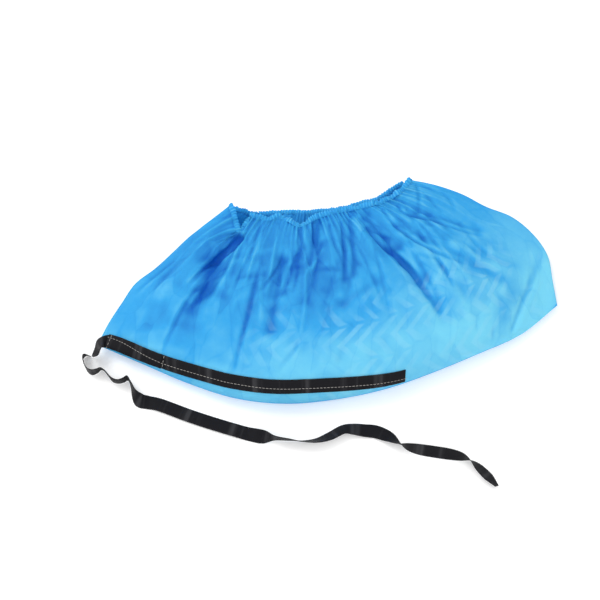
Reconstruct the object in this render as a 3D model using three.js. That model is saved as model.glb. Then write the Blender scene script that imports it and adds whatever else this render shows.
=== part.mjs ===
// A disposable overshoe of thin non-woven cloth, lying flat on its side.
// The sole faces -Y, the mouth faces +Y, the heel is at -X and the toe at +X.
// A black ribbon is sewn along the heel half of the sole, and its free end trails on the surface.
// Sizes are in millimetres and +Z is up; the cover rests on z = 0.
import * as THREE from "three";

// Driving dimensions
const CLOTH = 1; // thickness of a cloth wall
const SEAM_HALF = 1.2; // half thickness of the welded seam at the sole
const SEAM_BUNCH = 1.4; // what the seam's half thickness gains towards the mouth
const SEAM_WIDTH = 4.5; // width of the weld, along the sole
const SEAM_EASE = 3; // run over which the seam gains its thickness at the sole's edge
const TIP_INSET = 0.16; // where the walls are welded together at the sole's two tips, in rows
const TIP_REACH = 0.06; // and how far along the sole that runs
const HEM_WIDTH = 4.4; // elastic hem, measured away from the sole
const HEM_THICK = 2.2;
const HEM_SWELL = 0.12; // share by which its gathers swell and pinch it
const HEM_CLEAR = 0.75; // clearance between the hem and the cloth's edge
const RIBBON_WIDTH = 10.8;
const STRIP_THICK = 0.8; // ribbon sewn along the sole, with its stitches
const LAP_THICK = 1.3; // where the ribbon is doubled, near the heel
const STRIP_CLEAR = 0.45; // clearance between the sewn ribbon's middle and the cloth
const TAIL_THICK = 0.7; // free ribbon
const RIBBON_EASE = 0.3; // easing of every ribbon's edges, as a share of its thickness
const TAIL_LIFT = 0.05; // clearance under the free ribbon

// How the cloth opens out from the seams and round the sole
const HEEL_OPEN = 0.17; // share of the sole over which the walls part at the heel
const TOE_OPEN = 0.24;
const UNDER_ROUND = 9; // run of the rounding below the sole's edge
const UNDER_RISE = 34; // width of cloth that lifts to the far edge of the mouth
const PLEATS = 16; // gathers along each edge of the mouth
const PLEAT_HEIGHT = 1;
const PLEAT_REACH = 20; // how far the gathers run in from the mouth
const FOLD_START = 30; // run from the sole's edge over which the folds reach their depth

// How finely the walls are faceted
const COLUMNS = 64;
const ROUND_ROWS = 4;
const FLAT_ROWS = 8;
const ROUND_SHARE = 0.34; // share of a wall's rows given to the rounding
const ROW_CROWDING = 1.5; // how strongly the other rows crowd towards the mouth
const HEM_SIDES = 6;
const STRIP_STEPS = 42;
const FLAP_STEPS = 12;
const TAIL_STEPS = 79;
const WALK_STEPS = 80; // steps of a walk over the rounding
const NUDGE = 1e-3; // a short step along a surface, as a share of it

// Stations from heel to toe: the sole's edge, the mouth's near and far edges, the height of the
// crown, the run of the rounding from the sole's edge to the crown, and the edge's own height.
const STATIONS = [
  { soleX: -177, soleY: -45, nearX: -74.5, nearY: 69, farX: -74.5, farY: 69, crown: 14, round: 16, edge: 7 },
  { soleX: -142, soleY: -61, nearX: -66, nearY: 58.5, farX: -61, farY: 70, crown: 24, round: 22, edge: 9 },
  { soleX: -107, soleY: -77, nearX: -52, nearY: 61.5, farX: -46, farY: 73, crown: 28, round: 28, edge: 10 },
  { soleX: -70, soleY: -90, nearX: -36, nearY: 64, farX: -31, farY: 74, crown: 31, round: 32, edge: 12 },
  { soleX: -32, soleY: -94.5, nearX: -20, nearY: 62, farX: -16, farY: 74, crown: 34, round: 34, edge: 12 },
  { soleX: 7, soleY: -91, nearX: -4, nearY: 65.5, farX: -1.5, farY: 75, crown: 34, round: 34, edge: 12 },
  { soleX: 45, soleY: -82.5, nearX: 12, nearY: 68.5, farX: 13, farY: 77, crown: 34, round: 34, edge: 12 },
  { soleX: 81, soleY: -69, nearX: 28, nearY: 71.5, farX: 28, farY: 81, crown: 32, round: 32, edge: 11 },
  { soleX: 117, soleY: -53, nearX: 44, nearY: 74.5, farX: 42, farY: 85, crown: 28, round: 30, edge: 10 },
  { soleX: 151, soleY: -36, nearX: 58, nearY: 82, farX: 55, farY: 90, crown: 20, round: 26, edge: 8 },
  { soleX: 181, soleY: -11, nearX: 65.5, nearY: 91, farX: 65.5, farY: 91, crown: 14, round: 16, edge: 6 },
];

// Heights of the mouth's two edges above the surface, from heel to toe.
const MOUTH = [
  { near: 26, far: 21 },
  { near: 22.5, far: 8 },
  { near: 21, far: 5 },
  { near: 20, far: 5 },
  { near: 19.5, far: 5 },
  { near: 19.5, far: 5 },
  { near: 20, far: 5 },
  { near: 20.5, far: 6 },
  { near: 22, far: 7 },
  { near: 23, far: 11 },
  { near: 26, far: 21 },
];

// The heel and toe seams, each from the sole to the mouth.
const HEEL_SEAM = [
  { x: -177, y: -45, z: 7 },
  { x: -169.5, y: -27, z: 7 },
  { x: -160, y: -10, z: 8 },
  { x: -150, y: 6.5, z: 9 },
  { x: -134.5, y: 19, z: 11 },
  { x: -120.5, y: 32, z: 14 },
  { x: -106.5, y: 46, z: 16 },
  { x: -90.5, y: 57.5, z: 20 },
  { x: -74.5, y: 69, z: 24 },
];
const TOE_SEAM = [
  { x: 181, y: -11, z: 6 },
  { x: 179, y: 11, z: 6 },
  { x: 176.5, y: 32.5, z: 7 },
  { x: 166, y: 51, z: 8 },
  { x: 149.5, y: 65, z: 11 },
  { x: 129, y: 72.5, z: 14 },
  { x: 110, y: 82, z: 17 },
  { x: 88, y: 88, z: 21 },
  { x: 65.5, y: 91, z: 24 },
];

// Folds of the upper wall, as troughs between two points in plan. A negative depth is a ridge.
const FOLDS = [
  { name: "heel valley", x0: -66, y0: 36, x1: -86, y1: -14, deep0: 9, deep1: 8, half: 10 },
  { name: "heel valley end", x0: -88, y0: -20, x1: -102, y1: -48, deep0: 6, deep1: 1, half: 10 },
  { name: "heel ridge", x0: -86, y0: 40, x1: -122, y1: -16, deep0: -4, deep1: -3, half: 9 },
  { name: "second crease", x0: -20, y0: 32, x1: -33, y1: -7, deep0: 4, deep1: 3, half: 6 },
  { name: "second crease end", x0: -35, y0: -10, x1: -48, y1: -18, deep0: 3, deep1: 1, half: 6 },
  { name: "waist crease", x0: -34, y0: 20, x1: -43, y1: -42, deep0: 4, deep1: 3, half: 6 },
  { name: "mouth crease", x0: -6, y0: 58, x1: -12, y1: 18, deep0: 4, deep1: 2.5, half: 5 },
  { name: "middle crease", x0: -4, y0: 36, x1: -14, y1: -20, deep0: 3, deep1: 2, half: 5 },
  { name: "instep crease", x0: 19, y0: 63, x1: 22, y1: 18, deep0: 5, deep1: 3, half: 6.5 },
  { name: "instep crease end", x0: 22, y0: 14, x1: 14, y1: -18, deep0: 3, deep1: 1, half: 6 },
  { name: "ball valley", x0: 35, y0: 63, x1: 58, y1: 35, deep0: 6, deep1: 9, half: 8 },
  { name: "ball valley middle", x0: 60, y0: 32, x1: 82, y1: 6, deep0: 8, deep1: 8, half: 11 },
  { name: "ball valley end", x0: 84, y0: 2, x1: 100, y1: -31, deep0: 7, deep1: 3, half: 10 },
  { name: "toe fan high", x0: 72, y0: 64, x1: 122, y1: 50, deep0: 4, deep1: 3, half: 6 },
  { name: "toe fan low", x0: 70, y0: 46, x1: 134, y1: 5, deep0: 4, deep1: 3, half: 6 },
  { name: "toe facet", x0: 172, y0: 30, x1: 146, y1: -38, deep0: 3, deep1: 3, half: 6 },
];

// The sewn ribbon, from its square end under the arch to the heel and down its folded flap.
// up is the distance of its middle from the sole's edge, measured over the cloth.
const STRIP = [
  { along: 0.638, up: 7.5 },
  { along: 0.59, up: 9.5 },
  { along: 0.52, up: 13 },
  { along: 0.44, up: 15.5 },
  { along: 0.36, up: 15 },
  { along: 0.28, up: 14 },
  { along: 0.2, up: 12.5 },
  { along: 0.1, up: 9 },
  { along: 0.05, up: 7.5 },
  { along: 0.016, up: 6 },
];
const LAP_FROM = 0.17; // the doubled stretch runs from here to the heel
const LAP_EASE = 0.01; // share of the sole over which it thickens

// The flap that the ribbon makes past the heel seam. wide points from its middle to the edge that
// was the lower one on the sole.
const FLAP = [
  { x: -174.1, y: -46.2, z: 12.9, wideX: 0.35, wideY: -0.75, wideZ: 0.4 },
  { x: -176, y: -49.8, z: 10.2, wideX: 0.48, wideY: -0.5, wideZ: 0.7 },
  { x: -177.8, y: -53, z: 7.4, wideX: 0.5, wideY: -0.44, wideZ: 0.74 },
  { x: -180.2, y: -54.5, z: 6, wideX: 0.2, wideY: -0.44, wideZ: 0.86 },
];

// The free ribbon's middle line in plan, from the flap to its tip. roll turns its width from lying
// flat (0) through standing on edge (90) to lying flat on its other face (180), and its lower edge
// or face always touches the surface.
const TAIL = [
  { x: -182.8, y: -53.7, roll: 70 },
  { x: -185.3, y: -52.7, roll: 74 },
  { x: -187.6, y: -54.6, roll: 84 },
  { x: -186.4, y: -60, roll: 90 },
  { x: -183.5, y: -65.3, roll: 90 },
  { x: -180, y: -67.2, roll: 88 },
  { x: -176.2, y: -66.1, roll: 94 },
  { x: -173, y: -64.3, roll: 101 },
  { x: -169.2, y: -67.3, roll: 95 },
  { x: -164.3, y: -73.1, roll: 92 },
  { x: -159.6, y: -74.8, roll: 94 },
  { x: -155.5, y: -73.7, roll: 92 },
  { x: -152.3, y: -72.1, roll: 90 },
  { x: -149.6, y: -77.2, roll: 84 },
  { x: -146.6, y: -84.8, roll: 64 },
  { x: -142.5, y: -89, roll: 24 },
  { x: -136.5, y: -90, roll: 2 },
  { x: -127, y: -92.2, roll: -5 },
  { x: -105, y: -100.7, roll: -5 },
  { x: -85.3, y: -107.5, roll: -5 },
  { x: -66, y: -113.5, roll: -4 },
  { x: -55, y: -116.5, roll: 8 },
  { x: -47.5, y: -118.9, roll: 40 },
  { x: -40, y: -120.3, roll: 88 },
  { x: -28, y: -121.7, roll: 102 },
  { x: -16.7, y: -122.7, roll: 115 },
  { x: -7, y: -121.7, roll: 128 },
  { x: 2, y: -118.2, roll: 142 },
  { x: 12, y: -112.8, roll: 147 },
  { x: 19.5, y: -112.1, roll: 160 },
  { x: 28, y: -112.8, roll: 172 },
  { x: 37, y: -113.8, roll: 176 },
  { x: 46, y: -118, roll: 160 },
  { x: 53.4, y: -124.1, roll: 118 },
  { x: 60.3, y: -127.2, roll: 80 },
  { x: 69.3, y: -129.2, roll: 60 },
  { x: 80.5, y: -131, roll: 55 },
  { x: 91.6, y: -132.9, roll: 58 },
  { x: 100.4, y: -135.2, roll: 76 },
  { x: 107.7, y: -138.4, roll: 115 },
  { x: 113.5, y: -143.6, roll: 140 },
  { x: 120, y: -150.6, roll: 144 },
  { x: 125.3, y: -157.4, roll: 128 },
];

const clamp01 = (value) => Math.min(1, Math.max(0, value));
const smooth = (value) => THREE.MathUtils.smoothstep(value, 0, 1);
const mix = THREE.MathUtils.lerp;

// A smooth curve through three named columns of a table.
function curveOf(rows, [a, b, c]) {
  const points = rows.map((row) => new THREE.Vector3(row[a], row[b], c ? row[c] : 0));
  return new THREE.CatmullRomCurve3(points, false, "catmullrom", 0.5);
}

// One named column of a table, as a smooth function of 0 to 1.
function columnOf(rows, name) {
  const curve = curveOf(rows.map((row, i) => ({ at: i, value: row[name] })), ["at", "value"]);
  return (share) => curve.getPoint(clamp01(share)).y;
}

const sole = curveOf(STATIONS, ["soleX", "soleY"]);
const mouthEdge = {
  near: curveOf(STATIONS, ["nearX", "nearY"]),
  far: curveOf(STATIONS, ["farX", "farY"]),
};
const mouthHeight = { near: columnOf(MOUTH, "near"), far: columnOf(MOUTH, "far") };
const heelSeam = curveOf(HEEL_SEAM, ["x", "y", "z"]);
const toeSeam = curveOf(TOE_SEAM, ["x", "y", "z"]);
const crownAt = columnOf(STATIONS, "crown");
const roundAt = columnOf(STATIONS, "round");
const edgeAt = columnOf(STATIONS, "edge");

// Plan position on a wall: u runs from heel to toe and v from the sole's edge to the mouth.
function planPoint(u, v, side) {
  const edge = mouthEdge[side];
  const heel = heelSeam.getPoint(v);
  const toe = toeSeam.getPoint(v);
  const across = sole.getPoint(u).lerp(edge.getPoint(u), v);
  const along = heel.clone().lerp(toe, u);
  const heelChord = sole.getPoint(0).lerp(edge.getPoint(0), v);
  const toeChord = sole.getPoint(1).lerp(edge.getPoint(1), v);
  const corners = heelChord.lerp(toeChord, u);
  return across.add(along).sub(corners);
}

function wallWidth(u, side) {
  return sole.getPoint(u).distanceTo(mouthEdge[side].getPoint(u));
}

// How far the two walls have parted, from 0 on a seam to 1 inside the cover.
function opening(u) {
  return Math.sin((Math.PI / 2) * Math.min(u / HEEL_OPEN, (1 - u) / TOE_OPEN, 1));
}

function foldDepth(x, y) {
  let depth = 0;
  for (const fold of FOLDS) {
    const dx = fold.x1 - fold.x0;
    const dy = fold.y1 - fold.y0;
    const along = clamp01(((x - fold.x0) * dx + (y - fold.y0) * dy) / (dx * dx + dy * dy));
    const off = Math.hypot(x - fold.x0 - along * dx, y - fold.y0 - along * dy);
    depth += mix(fold.deep0, fold.deep1, along) * Math.exp(-((off / fold.half) ** 2));
  }
  return depth;
}

// A point on the outer face of a wall, run millimetres in from the sole's edge. rise is 0 at that
// edge and 1 where the rounding ends.
function facePoint(u, run, rise, side) {
  const width = wallWidth(u, side);
  const v = run / width;
  const point = planPoint(u, v, side);
  const seam = u < 0.5 ? heelSeam.getPoint(v).z : toeSeam.getPoint(v).z;
  const weld = (SEAM_HALF + SEAM_BUNCH * v) * clamp01(run / SEAM_EASE);
  const inner = clamp01((run - roundAt(u)) / (width - roundAt(u)));
  const pleat = Math.exp(-((width - run) / PLEAT_REACH)) * Math.sin(2 * Math.PI * PLEATS * u);
  const open = opening(u);
  if (side === "near") {
    const crown = mix(edgeAt(u), crownAt(u), rise) + (mouthHeight.near(u) - crownAt(u)) * smooth(inner);
    const folds = foldDepth(point.x, point.y) * smooth(run / FOLD_START) - PLEAT_HEIGHT * pleat;
    point.z = mix(seam + weld, crown - folds, open);
  } else {
    const lift = smooth(1 - (width - run) / UNDER_RISE);
    const floor = mix(edgeAt(u), 0, rise) + mouthHeight.far(u) * lift;
    point.z = mix(seam - weld, floor + PLEAT_HEIGHT * pleat * lift, open);
  }
  return point;
}

// The whole sheet from the mouth's far edge (t = -1), under the cover to the sole's edge (t = 0),
// and over it to the mouth's near edge (t = 1).
function sheetPoint(u, t) {
  const side = t < 0 ? "far" : "near";
  const round = t < 0 ? UNDER_ROUND : roundAt(u);
  const share = Math.abs(t);
  if (share < ROUND_SHARE) {
    const angle = (share / ROUND_SHARE) * (Math.PI / 2);
    return facePoint(u, round * (1 - Math.cos(angle)), Math.sin(angle), side);
  }
  const end = wallWidth(u, side) - HEM_WIDTH - HEM_CLEAR;
  const rest = 1 - (1 - (share - ROUND_SHARE) / (1 - ROUND_SHARE)) ** ROW_CROWDING;
  return facePoint(u, mix(round, end, rest), 1, side);
}

// A short step along the sheet towards the toe.
function toeward(u, t) {
  return sheetPoint(Math.min(1, u + NUDGE), t).sub(sheetPoint(Math.max(0, u - NUDGE), t));
}

// The outward normal of the sheet.
function sheetNormal(u, t) {
  const up = sheetPoint(u, Math.min(1, t + NUDGE)).sub(sheetPoint(u, Math.max(-1, t - NUDGE)));
  return toeward(u, t).cross(up).normalize();
}

// A point on the inside of the cloth. At the sole's two tips the inside stops short of the edge.
function liningPoint(u, t) {
  const inset = TIP_INSET * (1 - smooth(Math.min(u, 1 - u) / TIP_REACH));
  const insideOf = (share) => sheetPoint(u, share).addScaledVector(sheetNormal(u, share), -CLOTH);
  const share = mix(inset, 1, Math.abs(t));
  if (t === 0 && inset > 0) return insideOf(share).lerp(insideOf(-share), 0.5);
  return insideOf(t < 0 ? -share : share);
}

// A mesh from a list of points and triangles, turned to face outwards.
function closedMesh(name, points, triangles, material) {
  let volume = 0;
  for (const [a, b, c] of triangles) {
    volume += points[a].dot(points[b].clone().cross(points[c]));
  }
  const faces = volume < 0 ? triangles.map(([a, b, c]) => [a, c, b]) : triangles;
  const geometry = new THREE.BufferGeometry().setFromPoints(points);
  geometry.setIndex(faces.flat());
  geometry.computeVertexNormals();
  const mesh = new THREE.Mesh(geometry, material);
  mesh.name = name;
  return mesh;
}

function quad(a, b, c, d) {
  return [[a, b, c], [a, c, d]];
}

// The cover's cloth: an outer skin and an inner skin, each one sheet folded at the sole and closed
// at the heel and toe seams, joined round the mouth.
function coverWall(material) {
  const rows = [];
  for (let i = 0; i <= ROUND_ROWS; i += 1) rows.push((ROUND_SHARE * i) / ROUND_ROWS);
  for (let i = 1; i <= FLAT_ROWS; i += 1) rows.push(mix(ROUND_SHARE, 1, i / FLAT_ROWS));
  const heights = [...rows.slice(1).reverse().map((t) => -t), ...rows];
  const last = heights.length - 1;
  const weld = SEAM_WIDTH / sole.getLength();
  const points = [];
  const triangles = [];
  const at = (skin, i, j) => (skin * (COLUMNS + 1) + i) * heights.length + j;

  for (const skin of [0, 1]) {
    for (let i = 0; i <= COLUMNS; i += 1) {
      const u = skin ? THREE.MathUtils.clamp(i / COLUMNS, weld, 1 - weld) : i / COLUMNS;
      for (const t of heights) points.push(skin ? liningPoint(u, t) : sheetPoint(u, t));
    }
  }

  for (const skin of [0, 1]) {
    const faces = [];
    for (let i = 0; i < COLUMNS; i += 1) {
      for (let j = 0; j < last; j += 1) {
        faces.push(...quad(at(skin, i, j), at(skin, i + 1, j), at(skin, i + 1, j + 1), at(skin, i, j + 1)));
      }
    }
    for (const [i, end] of [[0, 0], [COLUMNS, 1]]) {
      for (let j = 0; j < last / 2 - 1; j += 1) {
        const corners = [j, j + 1, last - j - 1, last - j].map((row) => at(skin, i, row));
        faces.push(...quad(...(end ? corners.reverse() : corners)));
      }
      const tip = [at(skin, i, last / 2 - 1), at(skin, i, last / 2), at(skin, i, last / 2 + 1)];
      faces.push(end ? tip.reverse() : tip);
    }
    triangles.push(...(skin ? faces.map(([a, b, c]) => [a, c, b]) : faces));
  }

  const loop = [];
  for (let i = 0; i <= COLUMNS; i += 1) loop.push([i, last]);
  for (let i = COLUMNS; i >= 0; i -= 1) loop.push([i, 0]);
  loop.forEach(([i, j], k) => {
    const [m, n] = loop[(k + 1) % loop.length];
    triangles.push(...quad(at(0, i, j), at(0, m, n), at(1, m, n), at(1, i, j)));
  });
  return closedMesh("cover_wall", points, triangles, material);
}

// A solid swept through frames, each with a middle, a width direction and a thickness direction.
// profile lists [across, through] pairs; a closed sweep joins its last frame to its first.
function swept(name, frames, profileAt, closed, material) {
  const points = [];
  const triangles = [];
  const count = profileAt(0).length;
  frames.forEach(({ middle, across, through }, k) => {
    for (const [a, b] of profileAt(k)) {
      points.push(middle.clone().addScaledVector(across, a).addScaledVector(through, b));
    }
  });
  const spans = closed ? frames.length : frames.length - 1;
  for (let k = 0; k < spans; k += 1) {
    const next = (k + 1) % frames.length;
    for (let i = 0; i < count; i += 1) {
      const j = (i + 1) % count;
      const corners = [k * count + i, next * count + i, next * count + j, k * count + j];
      if (i >= count / 2) corners.push(corners.shift());
      triangles.push(...quad(...corners));
    }
  }
  if (!closed) {
    const end = (frames.length - 1) * count;
    for (let i = 1; i < count - 1; i += 1) {
      triangles.push([0, i, i + 1], [end, end + i + 1, end + i]);
    }
  }
  return closedMesh(name, points, triangles, material);
}

// A flat profile with eased edges.
function ribbonProfile(width, thick) {
  const [w, h, ease] = [width / 2, thick / 2, thick * RIBBON_EASE];
  return [
    [-w, -h + ease], [-w + ease, -h], [w - ease, -h], [w, -h + ease],
    [w, h - ease], [w - ease, h], [-w + ease, h], [-w, h - ease],
  ];
}

// The gathered hem: one closed ring beyond both edges of the mouth, with elastic inside.
function elasticHem(material) {
  const frameAt = (u, side) => {
    const t = side === "near" ? 1 : -1;
    const edge = sheetPoint(u, t);
    const outward = facePoint(u, wallWidth(u, side), 1, side).sub(edge);
    const through = sheetNormal(u, t);
    const across = through.clone().cross(toeward(u, t)).normalize();
    if (across.dot(outward) < 0) across.negate();
    const middle = edge.clone().addScaledVector(across, HEM_CLEAR + HEM_WIDTH / 2);
    return { middle: middle.addScaledVector(through, -CLOTH / 2), across, through };
  };
  const cornerAt = (u, outward) => {
    const [over, under] = [frameAt(u, "near"), frameAt(u, "far")];
    const middle = over.middle.add(under.middle).multiplyScalar(0.5);
    const across = over.across.add(under.across).normalize();
    const through = outward.addScaledVector(across, -outward.dot(across)).normalize();
    return { middle: middle.addScaledVector(through, HEM_THICK), across, through };
  };
  const heelOut = heelSeam.getPoint(1).sub(toeSeam.getPoint(1)).normalize();
  const frames = [];
  for (let i = 0; i <= COLUMNS; i += 1) frames.push(frameAt(i / COLUMNS, "near"));
  frames.push(cornerAt(1, heelOut.clone().negate()));
  for (let i = COLUMNS; i >= 0; i -= 1) frames.push(frameAt(i / COLUMNS, "far"));
  frames.push(cornerAt(0, heelOut.clone()));

  const profileAt = (k) => {
    const swell = k % 2 ? 1 + HEM_SWELL : 1 - HEM_SWELL;
    return Array.from({ length: HEM_SIDES }, (_, i) => {
      const angle = (2 * Math.PI * i) / HEM_SIDES;
      return [(HEM_WIDTH / 2) * Math.cos(angle), (HEM_THICK / 2) * swell * Math.sin(angle)];
    });
  };
  return swept("elastic_hem", frames, profileAt, true, material);
}

// The point on the near wall that lies up millimetres from the sole's edge, over the cloth, and the
// outward normal there.
function soleFrame(u, up) {
  let travelled = 0;
  let previous = sheetPoint(u, 0);
  for (let i = 1; i <= WALK_STEPS; i += 1) {
    const t = (ROUND_SHARE * i) / WALK_STEPS;
    const point = sheetPoint(u, t);
    travelled += point.distanceTo(previous);
    if (travelled >= up) return { middle: point, through: sheetNormal(u, t) };
    previous = point;
  }
  throw new Error("the ribbon lies beyond the rounding");
}

// The sewn ribbon: flat across its width and tangent to the cloth, then turned down into its flap.
function soleStrip(material) {
  const along = columnOf(STRIP, "along");
  const up = columnOf(STRIP, "up");
  const frames = [];
  const thick = [];
  for (let i = 0; i <= STRIP_STEPS; i += 1) {
    const u = along(i / STRIP_STEPS);
    const frame = soleFrame(u, up(i / STRIP_STEPS));
    thick.push(mix(STRIP_THICK, LAP_THICK, smooth((LAP_FROM - u) / LAP_EASE + 0.5)));
    frame.middle.addScaledVector(frame.through, STRIP_CLEAR + thick[i] / 2);
    frames.push(frame);
  }
  frames.forEach((frame, i) => {
    const ahead = frames[Math.min(i + 1, STRIP_STEPS)].middle;
    const behind = frames[Math.max(i - 1, 0)].middle;
    frame.across = frame.through.clone().cross(ahead.clone().sub(behind)).normalize();
  });

  const { middle: end, across: wideEnd } = frames[STRIP_STEPS];
  const turn = { x: end.x, y: end.y, z: end.z, wideX: wideEnd.x, wideY: wideEnd.y, wideZ: wideEnd.z };
  const rows = [turn, ...FLAP];
  const route = curveOf(rows, ["x", "y", "z"]);
  const wide = curveOf(rows, ["wideX", "wideY", "wideZ"]);
  for (let i = 1; i <= FLAP_STEPS; i += 1) {
    const share = i / FLAP_STEPS;
    frames.push({ middle: route.getPoint(share), across: wide.getPoint(share).normalize() });
    thick.push(STRIP_THICK);
  }
  frames.forEach((frame, i) => {
    const ahead = frames[Math.min(i + 1, frames.length - 1)].middle;
    const behind = frames[Math.max(i - 1, 0)].middle;
    frame.through = ahead.clone().sub(behind).cross(frame.across).normalize();
  });
  return swept("sole_strip", frames, (k) => ribbonProfile(RIBBON_WIDTH, thick[k]), false, material);
}

// The free ribbon, its width turned by roll about its own middle line.
function ribbonTail(material) {
  const route = curveOf(TAIL, ["x", "y"]);
  const roll = columnOf(TAIL, "roll");
  const frames = [];
  for (let i = 0; i <= TAIL_STEPS; i += 1) {
    const share = i / TAIL_STEPS;
    const forward = route.getTangent(share);
    const level = new THREE.Vector3(-forward.y, forward.x, 0);
    const angle = THREE.MathUtils.degToRad(roll(share));
    const across = level.multiplyScalar(Math.cos(angle));
    across.z = Math.sin(angle);
    const middle = route.getPoint(share);
    middle.z = (RIBBON_WIDTH * Math.abs(Math.sin(angle)) + TAIL_THICK) / 2 + TAIL_LIFT;
    frames.push({ middle, across, through: forward.clone().cross(across) });
  }
  return swept("ribbon_tail", frames, () => ribbonProfile(RIBBON_WIDTH, TAIL_THICK), false, material);
}

const cloth = new THREE.MeshStandardMaterial({
  color: 0x54b4ec,
  roughness: 0.75,
  metalness: 0,
  side: THREE.DoubleSide,
});
const hemCloth = new THREE.MeshStandardMaterial({ color: 0x2f9fe4, roughness: 0.8, metalness: 0 });
const ribbon = new THREE.MeshStandardMaterial({ color: 0x1c1d20, roughness: 0.5, metalness: 0 });

const overshoe = new THREE.Group();
overshoe.name = "overshoe";
overshoe.add(coverWall(cloth), elasticHem(hemCloth), soleStrip(ribbon), ribbonTail(ribbon));

export default overshoe;
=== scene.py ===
"""A disposable overshoe of thin blue non-woven cloth, lying flat on its side.

The sole faces -Y, the mouth faces +Y, the heel is at -X and the toe at +X. A black ribbon is sewn
along the heel half of the sole, and its free end trails on the surface. Tables are in millimetres.
"""

import functools
import math

import bpy
import numpy as np
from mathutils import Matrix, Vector


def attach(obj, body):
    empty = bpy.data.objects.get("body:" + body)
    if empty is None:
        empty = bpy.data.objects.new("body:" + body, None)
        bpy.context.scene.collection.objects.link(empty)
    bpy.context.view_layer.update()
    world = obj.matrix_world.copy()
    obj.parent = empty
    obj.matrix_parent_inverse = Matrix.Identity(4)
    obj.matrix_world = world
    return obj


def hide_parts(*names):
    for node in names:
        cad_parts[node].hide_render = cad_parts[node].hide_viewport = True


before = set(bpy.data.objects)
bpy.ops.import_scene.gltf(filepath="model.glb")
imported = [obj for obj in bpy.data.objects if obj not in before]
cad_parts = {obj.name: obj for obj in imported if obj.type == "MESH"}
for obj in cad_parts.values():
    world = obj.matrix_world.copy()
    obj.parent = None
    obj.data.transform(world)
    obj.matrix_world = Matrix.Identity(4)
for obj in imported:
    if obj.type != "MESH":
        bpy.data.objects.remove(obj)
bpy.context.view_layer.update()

bl_info = {
    "name": "Non-woven overshoe",
    "version": (1, 0, 0),
    "blender": (4, 5, 0),
    "location": "3D View > Sidebar > Overshoe",
    "description": "Builds a disposable overshoe with its gathered mouth and its trailing ribbon",
    "category": "Object",
}

MM = 0.001
ROOT = "root"

# Stations from heel to toe: the sole's edge, the mouth's near and far edges, the height of the
# crown, the run of the rounding from the sole's edge to the crown, and the edge's own height.
STATIONS = {
    "sole_x": (-177, -142, -107, -70, -32, 7, 45, 81, 117, 151, 181),
    "sole_y": (-45, -61, -77, -90, -94.5, -91, -82.5, -69, -53, -36, -11),
    "near_x": (-74.5, -66, -52, -36, -20, -4, 12, 28, 44, 58, 65.5),
    "near_y": (69, 58.5, 61.5, 64, 62, 65.5, 68.5, 71.5, 74.5, 82, 91),
    "far_x": (-74.5, -61, -46, -31, -16, -1.5, 13, 28, 42, 55, 65.5),
    "far_y": (69, 70, 73, 74, 74, 75, 77, 81, 85, 90, 91),
    "crown": (14, 24, 28, 31, 34, 34, 34, 32, 28, 20, 14),
    "round": (16, 22, 28, 32, 34, 34, 34, 32, 30, 26, 16),
    "edge": (7, 9, 10, 12, 12, 12, 12, 11, 10, 8, 6),
    "near_z": (26, 22.5, 21, 20, 19.5, 19.5, 20, 20.5, 22, 23, 26),
    "far_z": (21, 8, 5, 5, 5, 5, 5, 6, 7, 11, 21),
}

# The heel and toe seams, each from the sole to the mouth.
HEEL_SEAM = {
    "x": (-177, -169.5, -160, -150, -134.5, -120.5, -106.5, -90.5, -74.5),
    "y": (-45, -27, -10, 6.5, 19, 32, 46, 57.5, 69),
    "z": (7, 7, 8, 9, 11, 14, 16, 20, 24),
}
TOE_SEAM = {
    "x": (181, 179, 176.5, 166, 149.5, 129, 110, 88, 65.5),
    "y": (-11, 11, 32.5, 51, 65, 72.5, 82, 88, 91),
    "z": (6, 6, 7, 8, 11, 14, 17, 21, 24),
}

# Main folds of the upper wall: two points in plan, the depth at each, the half width, and how
# sharp the fold's bottom is, from 0 for a soft trough to 1 for a crease. A ridge is negative.
FOLDS = (
    (-71, 41, -87, 24, 5, 7.5, 5, 0.6),
    (-88, 21, -93, -3, 8, 7, 9, 0.3),
    (-95, -6, -113, -40, 6, 0.4, 8, 0.3),
    (-95, 42, -128, -8, -4, -3, 9, 0.5),
    (-20, 32, -33, -7, 2.5, 3, 7, 0.5),
    (-35, -10, -48, -18, 3, 1, 6, 0.6),
    (-34, 20, -43, -42, 4, 3, 6, 0.5),
    (-6, 58, -12, 18, 4, 2.5, 5, 0.7),
    (-4, 36, -14, -20, 3, 2, 5, 0.7),
    (19, 63, 22, 18, 5, 3, 6.5, 0.7),
    (22, 14, 14, -18, 3, 1, 6, 0.6),
    (33, 62, 53, 31, 6, 9, 7.5, 0.6),
    (55, 28, 72, 3, 8, 7, 9, 0.6),
    (74, -1, 89, -30, 6, 2, 8, 0.5),
    (72, 64, 122, 50, 4, 3, 6, 0.8),
    (58, 52, 134, 6, 3, 2, 7, 0.5),
    (172, 30, 146, -38, 3, 3, 6, 0.7),
)

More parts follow.
